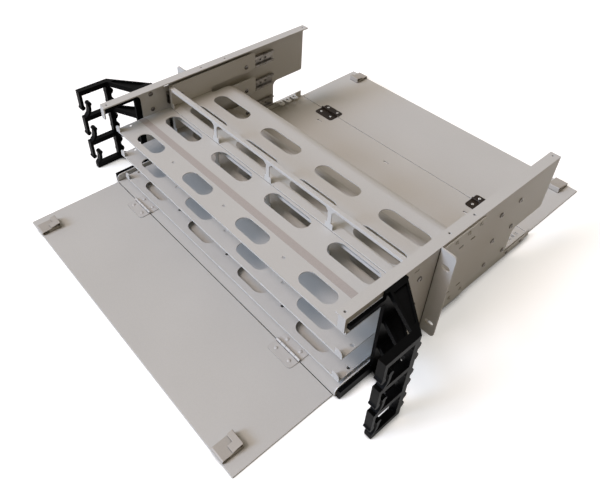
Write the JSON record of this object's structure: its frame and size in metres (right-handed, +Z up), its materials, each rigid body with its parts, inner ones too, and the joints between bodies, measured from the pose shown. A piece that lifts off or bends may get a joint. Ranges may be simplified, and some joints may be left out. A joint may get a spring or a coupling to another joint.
{
  "type": "mpo fibre patch panel",
  "caption": "Rack-mounted fibre patch panel with a folded base, drop-down front and rear doors, sliding slotted trays with adapter frames, rack ears and black side cable guides.",
  "frame": {"origin": "middle of the base's underside", "axes": "+X to the right seen from the front, +Y from the front to the rear, +Z up"},
  "size_m": [0.55, 0.618, 0.132],
  "materials": {
    "panel_grey": "fine powder coat",
    "guide_black": "satin moulded",
    "hinge_grey": "satin paint",
    "hinge_black": "satin paint",
    "bright_steel": "zinc plated",
    "slide_zinc": "zinc plated",
    "latch_grey": "satin paint"
  },
  "bodies": {
    "chassis": {"base_plate": "panel_grey", "left_side_wall": "panel_grey", "right_side_wall": "panel_grey", "left_rack_ear": "panel_grey", "right_rack_ear": "panel_grey", "left_fibre_guide": "guide_black", "right_fibre_guide": "guide_black", "front_hinge_base_leaves": "hinge_grey", "front_hinge_pins": "bright_steel", "front_hinge_base_rivets": "hinge_grey", "rear_hinge_base_leaves": "hinge_black", "rear_hinge_pins": "bright_steel", "rear_hinge_base_screws": "bright_steel", "slide_outer_members": "slide_zinc", "slide_screws": "bright_steel", "guide_screws": "bright_steel", "ear_screws": "panel_grey", "base_screws": "bright_steel"},
    "front_door": {"front_door": "panel_grey", "front_hinge_door_leaves": "hinge_grey", "front_hinge_door_rivets": "hinge_grey", "front_latch_catches": "latch_grey"},
    "front_left_latch_bolt": {"front_left_latch_bolt": "latch_grey"},
    "front_right_latch_bolt": {"front_right_latch_bolt": "latch_grey"},
    "rear_door": {"rear_door": "panel_grey", "rear_hinge_door_leaves": "hinge_black", "rear_hinge_door_screws": "bright_steel", "rear_latch_catches": "latch_grey"},
    "rear_left_latch_bolt": {"rear_left_latch_bolt": "latch_grey"},
    "rear_right_latch_bolt": {"rear_right_latch_bolt": "latch_grey"},
    "lower_tray": {"lower_tray": "panel_grey", "lower_adapter_frame": "panel_grey", "lower_slide_inner_members": "slide_zinc", "lower_tray_screws": "bright_steel"},
    "lower_ball_cages": {"lower_slide_ball_cages": "slide_zinc"},
    "middle_tray": {"middle_tray": "panel_grey", "middle_adapter_frame": "panel_grey", "middle_slide_inner_members": "slide_zinc", "middle_tray_screws": "bright_steel"},
    "middle_ball_cages": {"middle_slide_ball_cages": "slide_zinc"},
    "upper_tray": {"upper_tray": "panel_grey", "upper_adapter_frame": "panel_grey", "upper_slide_inner_members": "slide_zinc", "upper_tray_screws": "bright_steel"},
    "upper_ball_cages": {"upper_slide_ball_cages": "slide_zinc"}
  },
  "joints": [
    {"name": "front_door_hinge", "type": "hinge", "parent": "chassis", "child": "front_door", "pos_m": [0, -0.18, 0.0033], "axis": [1, 0, 0], "range_deg": [-90, 0]},
    {"name": "front_left_latch_bolt_slide", "type": "slide", "parent": "front_door", "child": "front_left_latch_bolt", "axis": [0, -1, 0], "range_m": [0, 0.004]},
    {"name": "front_right_latch_bolt_slide", "type": "slide", "parent": "front_door", "child": "front_right_latch_bolt", "axis": [0, -1, 0], "range_m": [0, 0.004]},
    {"name": "rear_door_hinge", "type": "hinge", "parent": "chassis", "child": "rear_door", "pos_m": [0, 0.18, 0.0033], "axis": [-1, 0, 0], "range_deg": [-90, 0]},
    {"name": "rear_left_latch_bolt_slide", "type": "slide", "parent": "rear_door", "child": "rear_left_latch_bolt", "axis": [0, 1, 0], "range_m": [0, 0.004]},
    {"name": "rear_right_latch_bolt_slide", "type": "slide", "parent": "rear_door", "child": "rear_right_latch_bolt", "axis": [0, 1, 0], "range_m": [0, 0.004]},
    {"name": "lower_tray_slide", "type": "slide", "parent": "chassis", "child": "lower_tray", "axis": [0, -1, 0], "range_m": [0, 0.1]},
    {"name": "lower_cage_slide", "type": "slide", "parent": "chassis", "child": "lower_ball_cages", "axis": [0, -1, 0], "range_m": [0, 0.05]},
    {"name": "middle_tray_slide", "type": "slide", "parent": "chassis", "child": "middle_tray", "axis": [0, -1, 0], "range_m": [0, 0.1]},
    {"name": "middle_cage_slide", "type": "slide", "parent": "chassis", "child": "middle_ball_cages", "axis": [0, -1, 0], "range_m": [0, 0.05]},
    {"name": "upper_tray_slide", "type": "slide", "parent": "chassis", "child": "upper_tray", "axis": [0, -1, 0], "range_m": [0, 0.1]},
    {"name": "upper_cage_slide", "type": "slide", "parent": "chassis", "child": "upper_ball_cages", "axis": [0, -1, 0], "range_m": [0, 0.05]}
  ],
  "couplings": [
    {"joint": "lower_cage_slide", "follows": "lower_tray_slide", "ratio": 0.5},
    {"joint": "middle_cage_slide", "follows": "middle_tray_slide", "ratio": 0.5},
    {"joint": "upper_cage_slide", "follows": "upper_tray_slide", "ratio": 0.5}
  ]
}
